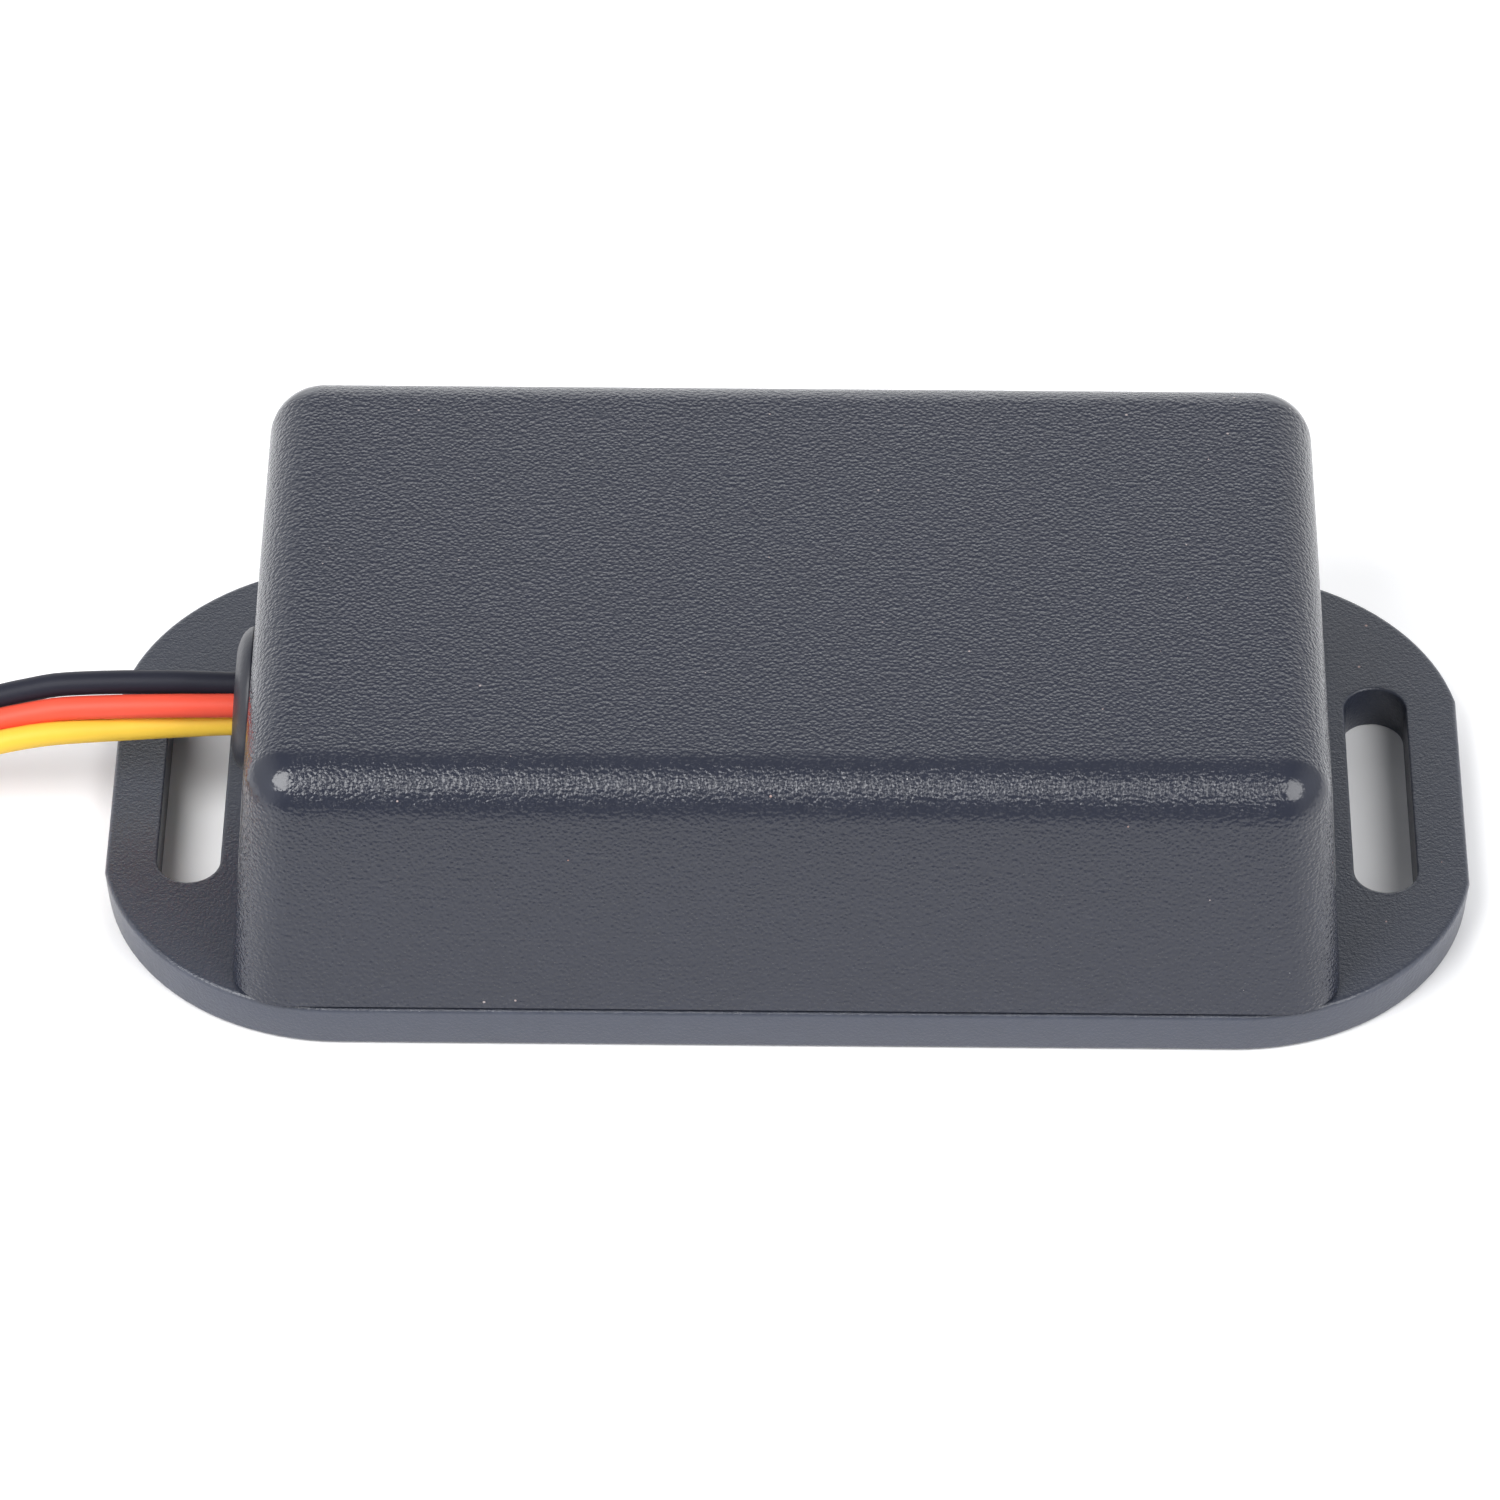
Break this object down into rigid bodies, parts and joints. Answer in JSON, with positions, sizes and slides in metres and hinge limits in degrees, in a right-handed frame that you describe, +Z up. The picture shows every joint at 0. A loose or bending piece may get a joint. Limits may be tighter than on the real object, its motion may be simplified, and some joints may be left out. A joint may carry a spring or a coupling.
{
  "type": "brake controller unit",
  "caption": "Small black flanged housing with slotted mounting ears, a lift-off cover over a circuit board, and coloured loose leads leaving one end through a grommet.",
  "frame": {"origin": "centre of the base plate underside, on the surface the unit rests on", "axes": "+X along the length, away from the end where the leads leave; +Y across the width, to the back; +Z up, from base plate to cover"},
  "size_m": [0.1324, 0.0532, 0.0198],
  "materials": {
    "housing_plastic": "fine spark-eroded moulding grain, satin black with a cool cast",
    "grommet_rubber": "smooth satin black",
    "board_laminate": "green solder mask over glass laminate",
    "chip_epoxy": "matt black moulding epoxy",
    "capacitor_sleeve": "shrink sleeve over an aluminium can",
    "fuse_polymer": "green laminated polymer",
    "capacitor_ceramic": "tan fired ceramic",
    "screw_steel": "zinc-plated steel",
    "solder_tin": "bright tin",
    "lead_pvc_black": "smooth black insulation",
    "lead_pvc_red": "smooth red insulation",
    "lead_pvc_yellow": "smooth yellow insulation",
    "tie_plastic": "flat plastic-covered tie wire, black"
  },
  "bodies": {
    "base": {"base_plate": "housing_plastic", "cable_grommet": "grommet_rubber", "circuit_board": "board_laminate", "controller_chip": "chip_epoxy", "power_transistor": "chip_epoxy", "voltage_regulator": "chip_epoxy", "protection_diode": "chip_epoxy", "filter_capacitor": "capacitor_sleeve", "resettable_fuse": "fuse_polymer", "ceramic_capacitor_1": "capacitor_ceramic", "ceramic_capacitor_2": "capacitor_ceramic", "lead_coil": "lead_pvc_red", "coil_tie": "tie_plastic", "cover_screw_1": "screw_steel", "chip_resistor_1": "chip_epoxy", "cover_screw_2": "screw_steel", "chip_resistor_2": "chip_epoxy", "cover_screw_3": "screw_steel", "chip_resistor_3": "chip_epoxy", "cover_screw_4": "screw_steel", "chip_resistor_4": "chip_epoxy", "board_screw_1": "screw_steel", "board_screw_2": "screw_steel", "board_lead_black": "lead_pvc_black", "solder_joint_black": "solder_tin", "lead_black": "lead_pvc_black", "lead_tail_black": "lead_pvc_black", "lead_tip_black": "solder_tin", "board_lead_red": "lead_pvc_red", "solder_joint_red": "solder_tin", "lead_red": "lead_pvc_red", "lead_tail_red": "lead_pvc_red", "lead_tip_red": "solder_tin", "board_lead_yellow": "lead_pvc_yellow", "solder_joint_yellow": "solder_tin", "lead_yellow": "lead_pvc_yellow", "lead_tail_yellow": "lead_pvc_yellow", "lead_tip_yellow": "solder_tin"},
    "cover": {"cover": "housing_plastic"}
  },
  "joints": [
    {"name": "cover_lift", "type": "slide", "parent": "base", "child": "cover", "axis": [0, 0, 1], "range_m": [0, 0.03]}
  ]
}
